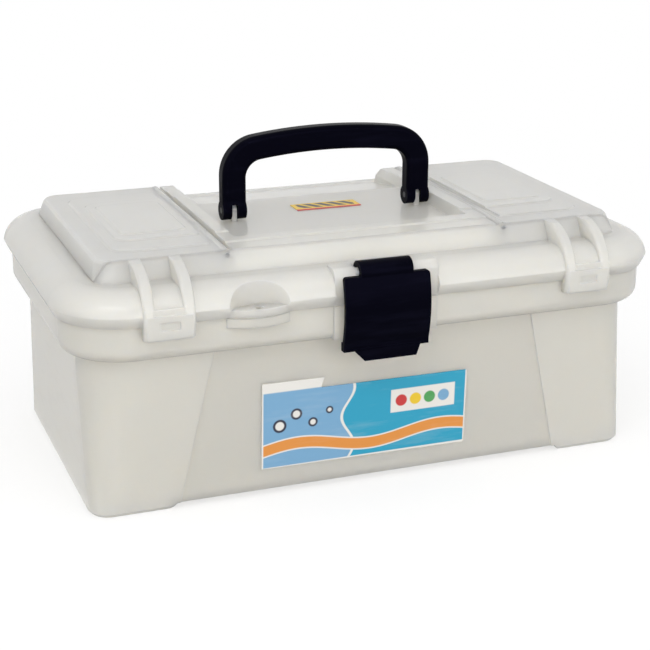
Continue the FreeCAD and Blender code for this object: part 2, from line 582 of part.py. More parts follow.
def make_cover(name, side, forms):
    """A cap over one end of the deck, with a skirt down to the shoulder at its end and its rear."""
    half = "seat_half - cover_gap"
    rear = "lid_depth / 2"
    end = "lid_length / 2"
    cap = region(f"{name}_cover_cap", forms["deck"], span(side, "cover_start", end), (f"-({half})", rear),
                 ("shoulder_top + cover_gap", ABOVE))
    inside = region(f"{name}_cover_inside", forms["inside"], span(side, "seat_outer", end),
                    (f"cover_lip - ({half})", rear), ("deck_root", "cover_ceiling"))
    plate = region(f"{name}_cover_plate", forms["deck"], span(side, "hinge_line", "cover_step"), both(half),
                   ("cover_ceiling", ABOVE))
    steps = [region(f"{name}_cover_{step}", forms[step], span(side, "cover_step", end), both(rear),
                    ("cover_ceiling", ABOVE)) for step in ("first", "second")]
    panel = soft_step(f"{name}_cover_panel", "deck_top + 2 * deck_step", "panel_rise", PANEL_LOOP)
    place(panel, f"{side} * panel_middle", "0", "0")
    barrel = rod(f"{name}_cover_barrel", "barrel", (f"{side} * hinge_line", f"-({half})", "hinge_height"),
                 f"2 * ({half})", ALONG_Y)
    bore = rod(f"{name}_cover_bore", "cover_bore", (f"{side} * hinge_line", "-seat_half", "hinge_height"),
               "2 * seat_half", ALONG_Y)
    return cut(f"{name}_organizer_cover", fuse(f"{name}_cover_solid", [cap, plate, panel, barrel] + steps),
               [inside, bore])


def leg_middle(side):
    """Where one leg of the handle stands along the box."""
    return f"{side} * leg_offset + handle_shift"


def bail_line(sketch, side, bend, crown, middle, pivot):
    """Draw half an arch on both sides: leg, corner and crown, and return the numbers of the five curves."""
    up = Vector(0, 0, 1)
    bend_x = side - bend
    bend_z = middle + math.sqrt((crown - bend) ** 2 - bend_x ** 2)
    sweep = math.atan2(bend_z - middle, bend_x)
    curves = [Part.LineSegment(Vector(-side, pivot, 0), Vector(-side, bend_z, 0)),
              Part.ArcOfCircle(Part.Circle(Vector(-bend_x, bend_z, 0), up, bend), math.pi - sweep, math.pi),
              Part.ArcOfCircle(Part.Circle(Vector(0, middle, 0), up, crown), sweep, math.pi - sweep),
              Part.ArcOfCircle(Part.Circle(Vector(bend_x, bend_z, 0), up, bend), 0, sweep),
              Part.LineSegment(Vector(side, bend_z, 0), Vector(side, pivot, 0))]
    numbers = [sketch.addGeometry(curve) for curve in curves]
    left, left_bend, top, right_bend, right = numbers
    for first, first_end, second, second_end in ((left, 2, left_bend, 2), (left_bend, 1, top, 2),
                                                 (top, 1, right_bend, 2), (right_bend, 1, right, 1)):
        sketch.addConstraint(Sketcher.Constraint("Tangent", first, first_end, second, second_end))
    sketch.addConstraint(Sketcher.Constraint("Vertical", left))
    sketch.addConstraint(Sketcher.Constraint("Vertical", right))
    sketch.addConstraint(Sketcher.Constraint("Equal", left_bend, right_bend))
    return numbers


def make_carry_handle():
    body = doc.addObject("PartDesign::Body", "handle_bail")
    outline = new_sketch(body, "handle_outline", "XZ_Plane")
    half, pivot = sheet.leg_width / 2, sheet.pivot_height
    middle = sheet.handle_top - sheet.crown
    rims = {"outer": (sheet.leg_offset + half, sheet.outer_bend, sheet.crown),
            "inner": (sheet.leg_offset - half, sheet.inner_bend, sheet.crown - sheet.grip_thick)}
    sides = {"outer": "leg_offset + leg_width / 2", "inner": "leg_offset - leg_width / 2"}
    crowns = {"outer": "crown", "inner": "crown - grip_thick"}
    lines = {}
    for rim, (side, bend, crown) in rims.items():
        left, left_bend, top, right_bend, right = bail_line(outline, side, bend, crown, middle, pivot)
        limit(outline, "DistanceX", (left, 1, -1, 1), sides[rim], side)
        limit(outline, "DistanceX", (-1, 1, right, 2), sides[rim], side)
        limit(outline, "DistanceY", (-1, 1, left, 1), "pivot_height", pivot)
        limit(outline, "DistanceY", (-1, 1, right, 2), "pivot_height", pivot)
        limit(outline, "Radius", (left_bend,), rim + "_bend", bend)
        limit(outline, "Radius", (top,), crowns[rim], crown)
        limit(outline, "DistanceY", (top, 3, -1, 1), "crown - handle_top", -middle)
        lines[rim] = (left, right)
    for number, end in ((0, 1), (1, 2)):
        points = [(rim[number], end) for rim in lines.values()]
        foot = outline.addGeometry(Part.LineSegment(*[outline.getPoint(*point) for point in points]))
        for foot_end, point in enumerate(points, start=1):
            outline.addConstraint(Sketcher.Constraint("Coincident", foot, foot_end, *point))
    bail = body.newObject("PartDesign::Pad", "bail")
    bail.Profile = outline
    bail.Midplane = True
    bind(bail, Length="leg_depth")
    doc.recompute()
    face = sheet.leg_depth / 2
    rims = edges_at(bail.Shape, face, "Y") + edges_at(bail.Shape, -face, "Y")
    feet = edges_at(bail.Shape, pivot)
    fillet(body, bail, "bail_edges", [edge for edge in rims if edge not in feet], "handle_round")

    place(body, "handle_shift", "0", "0")

    ends, tools = [body], []
    for name, side in SIDES.items():
        middle = leg_middle(side)
        start = (f"{middle} - leg_width / 2", "0", "pivot_height")
        ends.append(rod(f"{name}_leg_end", "leg_depth / 2", start, "leg_width", ALONG_X))
        tools.append(slab(f"{name}_leg_slot", around(middle, "slot_half"), both("leg_depth"),
                          ("bay_floor", "slot_top")))
        tools.append(rod(f"{name}_leg_bore", "handle_pin", start, "leg_width", ALONG_X))
    return cut("carry_handle", fuse("handle_solid", ends), tools)


def make_front_latch():
    wide = around(LATCH_X, "latch_half")
    axis = (wide[0], "latch_bow - latch_front", "latch_middle")
    bowed = cut("latch_bowed", rod("latch_outer_bow", "latch_bow", axis, "2 * latch_half", ALONG_X),
                [rod("latch_inner_bow", "latch_bow - latch_plate", axis, "2 * latch_half", ALONG_X)])
    window = slab("latch_window", wide, ("-latch_front - overshoot", "-latch_pivot_y"),
                  ("latch_low", "latch_high"))
    doc.recompute()
    outline = soften("latch_outline", window, edges_along(window.Shape, "Y"), "latch_corner")
    plate = common("latch_plate_curve", bowed, outline)
    knuckle = latch_rod("latch_knuckle", "knuckle", "knuckle_half")
    neck = slab("latch_neck", around(LATCH_X, "knuckle_half"), ("-neck_front", "-neck_back"),
                ("neck_low", "latch_pivot_z"))
    lip = slab("latch_lip", wide, ("-lip_root", "-lip_reach"), ("latch_low", "lip_top"))
    tab = doc.addObject("Part::Wedge", "latch_tab")
    tab.Placement = Placement(Vector(), Rotation(Vector(1, 0, 0), 90))
    low, high = around(LATCH_X, "tab_end"), around(LATCH_X, "tab_half")
    bind(tab, Xmin=low[0], Xmax=low[1], X2min=high[0], X2max=high[1],
         Ymin="tab_low", Ymax="latch_low + tab_root",
         Zmin="tab_front - tab_plate", Zmax="tab_front",
         Z2min="tab_root_front - tab_plate", Z2max="tab_root_front")
    bore = latch_rod("latch_bore", "latch_bore", "latch_half")
    mouth = slab("latch_mouth", around(LATCH_X, "knuckle_half + overshoot"),
                 ("-latch_pivot_y", "overshoot - latch_pivot_y"), ("latch_pivot_z - overshoot", "mouth_top"))
    return cut("front_latch", fuse("latch_solid", [plate, knuckle, neck, lip, tab]), [bore, mouth])


def make_front_label():
    """A paper label with a raised flag at its left end, stuck on the sloping front panel."""
    sheet_of_paper = doc.addObject("Part::Box", "label_sheet")
    bind(sheet_of_paper, Length="label_length", Width="label_thick", Height="label_height")
    flag = doc.addObject("Part::Wedge", "label_flag_piece")
    bind(flag, Xmin="0", X2min="0", Xmax="label_flag - label_flag_slant", X2max="label_flag",
         Ymin="label_height - bite", Ymax="label_height + label_flag_rise", Zmin="0", Z2min="0",
         Zmax="label_thick", Z2max="label_thick")
    flag.Placement = Placement(Vector(0, sheet.label_thick, 0), Rotation(Vector(1, 0, 0), 90))
    label = fuse("front_label", [sheet_of_paper, flag])
    slope = (sheet.wall_depth - sheet.foot_depth) / 2 / sheet.wall_top
    wall = sheet.foot_depth / 2 + sheet.label_z * slope - sheet.panel_sink
    tilt = Rotation(Vector(1, 0, 0), math.degrees(math.atan(slope)))
    turn = tilt * Rotation(Vector(0, 1, 0), sheet.label_turn)
    corner = Vector(-sheet.label_length / 2, -sheet.label_thick - sheet.paper_gap, -sheet.label_height / 2)
    middle = Placement(Vector(sheet.label_x, -wall, sheet.label_z), turn)
    label.Placement = middle * Placement(corner, Rotation())
    return label


def make_top_sticker():
    return slab("top_sticker", around("sticker_x", "sticker_length / 2"),
                around("sticker_y", "sticker_depth / 2"),
                ("bay_floor + paper_gap", "bay_floor + paper_gap + sticker_thick"))


def make_pins():
    pins = {}
    for name, side in SIDES.items():
        pins[f"{name}_lid_hinge_pin"] = rear_bore(f"{name}_lid_hinge_pin", side, "rear_pin")
        pins[f"{name}_handle_pin"] = rod(f"{name}_handle_pin", "handle_pin",
                                         (f"{leg_middle(side)} - leg_width / 2", "0", "pivot_height"),
                                         "leg_width", ALONG_X)
        pins[f"{name}_cover_hinge_pin"] = cover_pin_rod(f"{name}_cover_hinge_pin", side)
    return pins


def make_pieces():
    forms = make_top_forms()
    pieces = {"base_bin": make_base_bin(), "main_lid": make_main_lid(forms),
              "carry_handle": make_carry_handle(), "front_latch": make_front_latch(),
              "front_label": make_front_label(), "top_sticker": make_top_sticker()}
    for name, side in SIDES.items():
        pieces[f"{name}_organizer_cover"] = make_cover(name, side, forms)
    pieces.update(make_pins())
    return pieces


def check_document(pieces):
    """Stop before anything is written if an object failed or a piece is not one good solid."""
    failed = [item.Name for item in doc.Objects if "Invalid" in item.State or "Error" in item.State]
    for name, piece in pieces.items():
        if piece.Shape.isNull() or not piece.Shape.isValid() or len(piece.Shape.Solids) != 1:
            failed.append(f"{name}: {len(piece.Shape.Solids)} solids")
    if failed:
        raise RuntimeError("failed: " + ", ".join(failed))


pieces = make_pieces()
doc.recompute()
check_document(pieces)
os.makedirs("parts", exist_ok=True)
for node, piece in pieces.items():
    piece.Label = node
    piece.Shape.exportStep(f"parts/{node}.step")
    box = piece.Shape.optimalBoundingBox(False)
    size = f"{box.XLength:.1f} x {box.YLength:.1f} x {box.ZLength:.1f} mm"
    print(f"{node}: {piece.Shape.Volume / 1000:.2f} cm3, {size}")
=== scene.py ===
"""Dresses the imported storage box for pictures: finishes, handle, latch, printed papers and a plain stage."""

import math

import bpy
from bpy.props import FloatProperty, FloatVectorProperty, PointerProperty
from bpy.types import Operator, Panel, PropertyGroup
from mathutils import Matrix, Vector


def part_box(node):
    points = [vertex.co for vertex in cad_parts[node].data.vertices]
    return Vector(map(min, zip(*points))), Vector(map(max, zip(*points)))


bl_info = {
    "name": "Art supply box",
    "version": (1, 0, 0),
    "blender": (4, 5, 0),
    "location": "3D View > Sidebar > Supply Box",
    "description": "Gives the packed storage box its plastics, papers and studio",
    "category": "Object",
}

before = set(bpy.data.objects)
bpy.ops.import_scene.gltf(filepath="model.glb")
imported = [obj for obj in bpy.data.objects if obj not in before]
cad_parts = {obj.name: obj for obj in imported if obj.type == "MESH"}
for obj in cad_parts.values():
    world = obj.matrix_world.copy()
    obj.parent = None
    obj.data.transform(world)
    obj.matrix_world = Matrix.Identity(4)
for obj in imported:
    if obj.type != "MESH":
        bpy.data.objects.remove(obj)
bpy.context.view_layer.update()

MM = 0.001
LID_SHELLS = ("main_lid", "left_organizer_cover", "right_organizer_cover")
BLACK_PARTS = ("carry_handle", "front_latch")
WIRE_PINS = ("left_lid_hinge_pin", "right_lid_hinge_pin", "left_cover_hinge_pin", "right_cover_hinge_pin")
HANDLE_PINS = ("left_handle_pin", "right_handle_pin")

# Colour sockets of a Mix node
MIX_A = 6
MIX_B = 7
MIX_RESULT = 2

# Texture scales of the moulded skin, in repeats per metre
GRAIN_SCALE = 2600
WAVE_SCALE = 16
STREAK_SCALE = (22, 40, 160)

# Cosines of the turn at which the painted edge highlight starts to show and is full
EDGE_HIGHLIGHT_START = 0.985
EDGE_HIGHLIGHT_FULL = 0.86

# Blur of printed edges, in millimetres
PRINT_SOFT = 0.2
ROUND_SOFT = 0.25
FINE_SOFT = 0.15

# Layout of the label's print, in millimetres from its lower left corner
SEAM_CHANGE = (43.4, 43.8)
SEAM_LINE = (43.0, 44.4)
RIBBON_BORDER = (6.2, 13.0)
RIBBON = (6.9, 12.3)
CARD = ((66.0, 21.0), (100.0, 33.0))
FIRST_SPOT = (71.5, 27.0)
SPOT_STEP = 7.5
SPOT_RADIUS = 3.0
FIRST_BUBBLE = (9.0, 22.0)
BUBBLE_STEP = (8.4, 5.2)
BUBBLE_COUNT = 4
BUBBLE_RADIUS = 3.4
BUBBLE_SHRINK = 0.5
HOLLOW_RADIUS = 2.2
HOLLOW_SHRINK = 0.4
FLAG_HEIGHT = 5.0
FLAG_SOFT = 0.3
SIDE_MARGIN = 0.8
LOW_MARGIN = (0.9, 1.3)

# Layout of the sticker's print, in millimetres from its lower left corner
BAR_STEP = 6.4
BAR = (0.8, 4.9)
BAR_SLANT = 0.7
BAR_PANEL = ((2.4, 3.2), (32.6, 10.8))
RED_LINE = (1.6, 1.9)

# The floor, in metres from the middle of the box
SHADOW_FULL = 0.16
SHADOW_GONE = 0.42


class MilkyPlastic(PropertyGroup):
    lid: FloatVectorProperty(name="Lid colour", description="Body colour of the lid and its covers",
                             subtype="COLOR", size=3, min=0, max=1, default=(0.935, 0.918, 0.868))
    bin: FloatVectorProperty(name="Bin colour", description="Body colour of the bin",
                             subtype="COLOR", size=3, min=0, max=1, default=(1.0, 0.96, 0.862))
    # Painted highlight: this colour is laid on along sharp edges, standing in for light that gathers in thin
    # edges
    edge: FloatVectorProperty(name="Edge colour", description="Where light gathers along thin edges",
                              subtype="COLOR", size=3, min=0, max=1, default=(1.0, 0.995, 0.98))
    clarity: FloatProperty(name="Clarity", description="Share of light that passes straight through a wall",
                           subtype="FACTOR", min=0, max=1, default=0.52)
    cloud: FloatProperty(name="Cloud", description="Share of light that scatters inside a wall",
                         subtype="FACTOR", min=0, max=1, default=0.9)
    roughness: FloatProperty(name="Roughness", description="Haze of the plastic under its skin",
                             subtype="FACTOR", min=0, max=1, default=0.50)
    gloss: FloatProperty(name="Gloss", description="Strength of the clear top skin from the polished mould",
                         subtype="FACTOR", min=0, max=1, default=0.45)
    gloss_spread: FloatProperty(name="Gloss spread", description="Roughness of the clear top skin",
                                subtype="FACTOR", min=0, max=1, default=0.10)
    depth: FloatProperty(name="Glow depth", description="How far light spreads inside the plastic",
                         subtype="DISTANCE", unit="LENGTH", min=0, default=10 * MM)
    soft_edge: FloatProperty(name="Soft edge", description="Rounding that the mould leaves on sharp edges",
                             subtype="DISTANCE", unit="LENGTH", min=0, default=0.8 * MM)


class BlackPlastic(PropertyGroup):
    colour: FloatVectorProperty(name="Colour", description="Body colour of the handle and latch",
                                subtype="COLOR", size=3, min=0, max=1, default=(0.0015, 0.0015, 0.0035))
    sheen: FloatVectorProperty(name="Sheen", description="Tint of the highlights on the black mouldings",
                               subtype="COLOR", size=3, min=0, max=1, default=(0.42, 0.40, 1.0))
    gloss: FloatProperty(name="Gloss", description="Strength of the highlights", subtype="FACTOR", min=0,
                         max=1, default=0.02)
    roughness: FloatProperty(name="Roughness", description="Spread of the highlights",
                             subtype="FACTOR", min=0, max=1, default=0.30)
    soft_edge: FloatProperty(name="Soft edge", description="Rounding that the mould leaves on sharp edges",
                             subtype="DISTANCE", unit="LENGTH", min=0, default=0.7 * MM)


def ink(name, description, default):
    """A colour that the papers are printed in."""
    return FloatVectorProperty(name=name, description=description, subtype="COLOR", size=3, min=0, max=1,
                               default=default)


class PrintedPaper(PropertyGroup):
    field: ink("Field", "Ground at the label's left end", (0.165, 0.345, 0.53))
    sky: ink("Sky", "Ground at the label's right end", (0.015, 0.30, 0.46))
    ribbon: ink("Ribbon", "Warm wave along the label", (0.66, 0.25, 0.045))
    paper: ink("Paper", "Unprinted stock", (0.72, 0.70, 0.66))
    cherry: ink("Cherry", "First paint spot", (0.50, 0.03, 0.03))
    lemon: ink("Lemon", "Second paint spot and the top sticker's ground", (0.74, 0.50, 0.02))
    leaf: ink("Leaf", "Third paint spot", (0.06, 0.30, 0.08))
    navy: ink("Navy", "Dark ink", (0.012, 0.014, 0.035))


class StudioView(PropertyGroup):
    azimuth: FloatProperty(name="Azimuth", description="Camera direction round the box", subtype="ANGLE",
                           unit="ROTATION", default=math.radians(-20.84))
    elevation: FloatProperty(name="Elevation", description="Camera height above the horizon",
                             subtype="ANGLE", unit="ROTATION", default=math.radians(18.82))
    roll: FloatProperty(name="Roll", description="Turn of the picture about its middle", subtype="ANGLE",
                        unit="ROTATION", default=math.radians(0.31))
    distance: FloatProperty(name="Distance", description="From the aim point to the lens",
                            subtype="DISTANCE", unit="LENGTH", default=0.81269)
    lens: FloatProperty(name="Lens", description="Focal length on a 36 mm wide sensor",
                        subtype="DISTANCE_CAMERA", default=86.176)
    aim_side: FloatProperty(name="Aim across", description="Aim point, along the picture's width",
                            subtype="DISTANCE", unit="LENGTH", default=0.00229)
    aim_up: FloatProperty(name="Aim up", description="Aim point, along the picture's height",
                          subtype="DISTANCE", unit="LENGTH", default=-0.00411)
    aim_height: FloatProperty(name="Aim height", description="Height of the aim point above the floor",
                              subtype="DISTANCE", unit="LENGTH", default=0.060)
    ambient: FloatProperty(name="Ambient", description="Even light from all round", min=0, default=0.84)


def links_of(tree):
    """A short way to join sockets in one node tree."""
    def join(source, target):
        tree.links.new(source, target)
    return join


def group_with(name, inputs, outputs):
    """An empty shader group with its float, colour or vector sockets."""
    tree = bpy.data.node_groups.new(name, "ShaderNodeTree")
    for label, kind, value in inputs:
        socket = tree.interface.new_socket(label, in_out="INPUT", socket_type=kind)
        if value is not None:
            socket.default_value = value
    for label, kind in outputs:
        tree.interface.new_socket(label, in_out="OUTPUT", socket_type=kind)
    return tree, tree.nodes.new("NodeGroupInput"), tree.nodes.new("NodeGroupOutput")


def noise(tree, scale, detail, roughness=0.5):
    """A noise texture, finer with a larger scale."""
    node = tree.nodes.new("ShaderNodeTexNoise")
    node.inputs["Scale"].default_value = scale
    node.inputs["Detail"].default_value = detail
    node.inputs["Roughness"].default_value = roughness
    return node


def ramp(tree, low, high, low_value=0.0, high_value=1.0):
    """A node that takes low to low_value and high to high_value."""
    node = tree.nodes.new("ShaderNodeMapRange")
    node.inputs["From Min"].default_value = low
    node.inputs["From Max"].default_value = high
    node.inputs["To Min"].default_value = low_value
    node.inputs["To Max"].default_value = high_value
    return node


def moulded_skin():
    """Fine spark-eroded grain, slow waviness and faint rubbed streaks of a moulded plastic skin."""
    known = bpy.data.node_groups.get("moulded_skin")
    if known:
        return known
    tree, enter, leave = group_with(
        "moulded_skin",
        [("Place", "NodeSocketVector", None), ("Grain size", "NodeSocketFloat", GRAIN_SCALE),
         ("Grain share", "NodeSocketFloat", 0.3)],
        [("Height", "NodeSocketFloat"), ("Wave", "NodeSocketFloat"), ("Rub", "NodeSocketFloat")])
    join = links_of(tree)
    grain = noise(tree, scale=GRAIN_SCALE, detail=2)
    join(enter.outputs["Place"], grain.inputs["Vector"])
    join(enter.outputs["Grain size"], grain.inputs["Scale"])
    wave = noise(tree, scale=WAVE_SCALE, detail=2)
    join(enter.outputs["Place"], wave.inputs["Vector"])
    stretch = tree.nodes.new("ShaderNodeMapping")
    stretch.inputs["Scale"].default_value = STREAK_SCALE
    join(enter.outputs["Place"], stretch.inputs["Vector"])
    streaks = noise(tree, scale=1.0, detail=5, roughness=0.62)
    join(stretch.outputs["Vector"], streaks.inputs["Vector"])
    rub = ramp(tree, low=0.52, high=0.74)
    join(streaks.outputs["Fac"], rub.inputs["Value"])
    mix = tree.nodes.new("ShaderNodeMix")
    join(enter.outputs["Grain share"], mix.inputs["Factor"])
    join(wave.outputs["Fac"], mix.inputs["A"])
    join(grain.outputs["Fac"], mix.inputs["B"])
    join(mix.outputs["Result"], leave.inputs["Height"])
    join(wave.outputs["Fac"], leave.inputs["Wave"])
    join(rub.outputs["Result"], leave.inputs["Rub"])
    return tree


def soft_edges():
    """A normal that rounds sharp edges over a radius, and a mask of those edges for the painted edge
    highlight.
    """
    known = bpy.data.node_groups.get("soft_edges")
    if known:
        return known
    tree, enter, leave = group_with("soft_edges", [("Radius", "NodeSocketFloat", 0.8 * MM)],
                                    [("Normal", "NodeSocketVector"), ("Edge", "NodeSocketFloat")])
    join = links_of(tree)
    bevel = tree.nodes.new("ShaderNodeBevel")
    bevel.samples = 6
    join(enter.outputs["Radius"], bevel.inputs["Radius"])
    flat = tree.nodes.new("ShaderNodeNewGeometry")
    turn = tree.nodes.new("ShaderNodeVectorMath")
    turn.operation = "DOT_PRODUCT"
    join(bevel.outputs["Normal"], turn.inputs[0])
    join(flat.outputs["Normal"], turn.inputs[1])
    edge = ramp(tree, low=EDGE_HIGHLIGHT_START, high=EDGE_HIGHLIGHT_FULL)
    join(turn.outputs["Value"], edge.inputs["Value"])
    join(bevel.outputs["Normal"], leave.inputs["Normal"])
    join(edge.outputs["Result"], leave.inputs["Edge"])
    return tree


def new_finish(name):
    """A material with only a Principled BSDF, its output and Object coordinates."""
    material = bpy.data.materials.new(name)
    material.use_nodes = True
    tree = material.node_tree
    shader = tree.nodes["Principled BSDF"]
    place = tree.nodes.new("ShaderNodeTexCoord")
    return material, tree, shader, place


def skin_on(tree, place, grain_size, grain_share):
    """Place the skin group in a material."""
    node = tree.nodes.new("ShaderNodeGroup")
    node.node_tree = moulded_skin()
    node.inputs["Grain size"].default_value = grain_size
    node.inputs["Grain share"].default_value = grain_share
    links_of(tree)(place.outputs["Object"], node.inputs["Place"])
    return node


def edges_on(tree, radius):
    """Place the edge group in a material."""
    node = tree.nodes.new("ShaderNodeGroup")
    node.node_tree = soft_edges()
    node.inputs["Radius"].default_value = radius
    return node


def relief(tree, shader, height, strength, distance, normal=None):
    """Bump from a height, on top of a softened normal where there is one."""
    bump = tree.nodes.new("ShaderNodeBump")
    bump.inputs["Strength"].default_value = strength
    bump.inputs["Distance"].default_value = distance
    join = links_of(tree)
    join(height, bump.inputs["Height"])
    if normal:
        join(normal, bump.inputs["Normal"])
    join(bump.outputs["Normal"], shader.inputs["Normal"])


def tinted(tree, factor, first, second):
    """A colour that goes from first to second with a mask."""
    mix = tree.nodes.new("ShaderNodeMix")
    mix.data_type = "RGBA"
    mix.inputs[MIX_A].default_value = (*first, 1)
    mix.inputs[MIX_B].default_value = (*second, 1)
    links_of(tree)(factor, mix.inputs["Factor"])
    return mix.outputs[MIX_RESULT]


def varied(tree, shader, mask, low, high):
    """Roughness that follows a mask."""
    spread = ramp(tree, low=0, high=1, low_value=low, high_value=high)
    join = links_of(tree)
    join(mask, spread.inputs["Value"])
    join(spread.outputs["Result"], shader.inputs["Roughness"])


def calc(tree, operation, first, second=0.0):
    """A math node on sockets or plain numbers."""
    node = tree.nodes.new("ShaderNodeMath")
    node.operation = operation
    for socket, value in zip(node.inputs, (first, second)):
        if isinstance(value, (int, float)):
            socket.default_value = value
        else:
            tree.links.new(value, socket)
    return node.outputs[0]


def eased(tree, value, low, high):
    """A mask that goes from 0 at low to 1 at high."""
    node = ramp(tree, low, high)
    links_of(tree)(value, node.inputs["Value"])
    return node.outputs["Result"]


def band(tree, value, low, high, soft):
    """A mask that is 1 between two values."""
    rising = eased(tree, value, low - soft, low + soft)
    return calc(tree, "MULTIPLY", rising, eased(tree, value, high + soft, high - soft))


def disc(tree, across, up, middle, radius, soft):
    """A mask that is 1 inside a circle."""
    offsets = [calc(tree, "SUBTRACT", value, place) for value, place in zip((across, up), middle)]
    squares = [calc(tree, "MULTIPLY", offset, offset) for offset in offsets]
    distance = calc(tree, "SQRT", calc(tree, "ADD", *squares))
    return eased(tree, distance, radius + soft, radius - soft)


def patch(tree, place, low, high, soft):
    """A mask that is 1 inside a rectangle between two corners."""
    sides = [band(tree, value, *ends, soft) for value, ends in zip(place, zip(low, high))]
    return calc(tree, "MULTIPLY", *sides)


def waved(tree, value, along, rate, swing):
    """A distance from a line that waves, with rate in radians per millimetre and swing in millimetres."""
    wave = calc(tree, "SINE", calc(tree, "MULTIPLY", along, rate))
    return calc(tree, "SUBTRACT", value, calc(tree, "MULTIPLY", wave, swing))


def scaled(colour, factors):
    """A colour with each channel multiplied."""
    return tuple(channel * factor for channel, factor in zip(colour, factors))


def painted(tree, below, mask, colour):
    """Lay a colour over another where a mask is 1."""
    mix = tree.nodes.new("ShaderNodeMix")
    mix.data_type = "RGBA"
    join = links_of(tree)
    join(below, mix.inputs[MIX_A])
    mix.inputs[MIX_B].default_value = (*colour, 1)
    join(mask, mix.inputs["Factor"])
    return mix.outputs[MIX_RESULT]


def milky_finish(name, pale, settings):
    """Natural polypropylene: pale, cloudy, lit from within, with a clear top skin and a painted highlight
    along sharp edges.
    """
    material, tree, shader, place = new_finish(name)
    skin = skin_on(tree, place, grain_size=2400, grain_share=0.25)
    join = links_of(tree)
    edges = edges_on(tree, settings.soft_edge)
    warm = scaled(pale, factors=(0.985, 0.975, 0.955))
    cloudy = tinted(tree, skin.outputs["Wave"], warm, pale)
    # Painted highlight: the base colour turns to the edge colour along sharp edges
    join(painted(tree, cloudy, edges.outputs["Edge"], tuple(settings.edge)), shader.inputs["Base Color"])
    rubbed = settings.roughness + 0.1
    varied(tree, shader, skin.outputs["Rub"], low=settings.roughness, high=rubbed)
    relief(tree, shader, skin.outputs["Height"], strength=0.10, distance=0.5 * MM,
           normal=edges.outputs["Normal"])
    shader.inputs["IOR"].default_value = 1.49
    shader.inputs["Coat Weight"].default_value = settings.gloss
    shader.inputs["Coat Roughness"].default_value = settings.gloss_spread
    shader.inputs["Transmission Weight"].default_value = settings.clarity
    shader.inputs["Subsurface Weight"].default_value = settings.cloud
    shader.inputs["Subsurface Radius"].default_value = (1.0, 0.95, 0.85)
    shader.inputs["Subsurface Scale"].default_value = settings.depth
    return material


def black_finish(settings):
    """Blue-black moulded plastic with a satin skin and a painted highlight along sharp edges."""
    material, tree, shader, place = new_finish("black_polypropylene")
    skin = skin_on(tree, place, grain_size=1800, grain_share=0.45)
    join = links_of(tree)
    edges = edges_on(tree, settings.soft_edge)
    deep = tuple(settings.colour)
    worn = scaled(deep, factors=(2.2, 2.2, 2.2))
    # Painted highlight: a lighter black laid on along sharp edges
    painted_edge_highlight_black = scaled(deep, factors=(3, 3, 3))
    streaky = tinted(tree, skin.outputs["Rub"], deep, worn)
    join(painted(tree, streaky, edges.outputs["Edge"], painted_edge_highlight_black), shader.inputs["Base Color"])
    rubbed = settings.roughness + 0.12
    varied(tree, shader, skin.outputs["Rub"], low=settings.roughness, high=rubbed)
    relief(tree, shader, skin.outputs["Height"], strength=0.15, distance=0.4 * MM,
           normal=edges.outputs["Normal"])
    shader.inputs["IOR"].default_value = 1.5
    shader.inputs["Specular IOR Level"].default_value = settings.gloss
    shader.inputs["Specular Tint"].default_value = (*settings.sheen, 1)
    return material


def pin_finish(name, bright, dull):
    """Drawn wire with rubbed marks, from two levels of grey."""
    material, tree, shader, place = new_finish(name)
    skin = skin_on(tree, place, grain_size=3200, grain_share=0.8)
    steel = tinted(tree, skin.outputs["Rub"], (bright, bright, bright), (dull, dull, dull))
    links_of(tree)(steel, shader.inputs["Base Color"])
    varied(tree, shader, skin.outputs["Rub"], low=0.28, high=0.45)
    relief(tree, shader, skin.outputs["Height"], strength=0.2, distance=0.1 * MM)
    shader.inputs["Metallic"].default_value = 1.0
    return material


def millimetres(tree, place, node, upright):
    """Distances in millimetres from a paper's lower left corner, across it and up it."""
    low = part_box(node)[0]
    apart = tree.nodes.new("ShaderNodeSeparateXYZ")
    links_of(tree)(place.outputs["Object"], apart.inputs[0])
    return [calc(tree, "DIVIDE", calc(tree, "SUBTRACT", apart.outputs[axis], low["XYZ".index(axis)]), MM)
            for axis in ("X", upright)]


def paper_finish(tree, shader, place, colour, stock):
    """Coated stock: faint mottle in the print, a low gloss and a little cockle."""
    skin = skin_on(tree, place, grain_size=900, grain_share=0.5)
    mottle_share = 0.12
    mottle = calc(tree, "MULTIPLY", skin.outputs["Rub"], mottle_share)
    links_of(tree)(painted(tree, colour, mottle, stock), shader.inputs["Base Color"])
    varied(tree, shader, skin.outputs["Wave"], low=0.34, high=0.5)
    relief(tree, shader, skin.outputs["Height"], strength=0.08, distance=0.3 * MM)


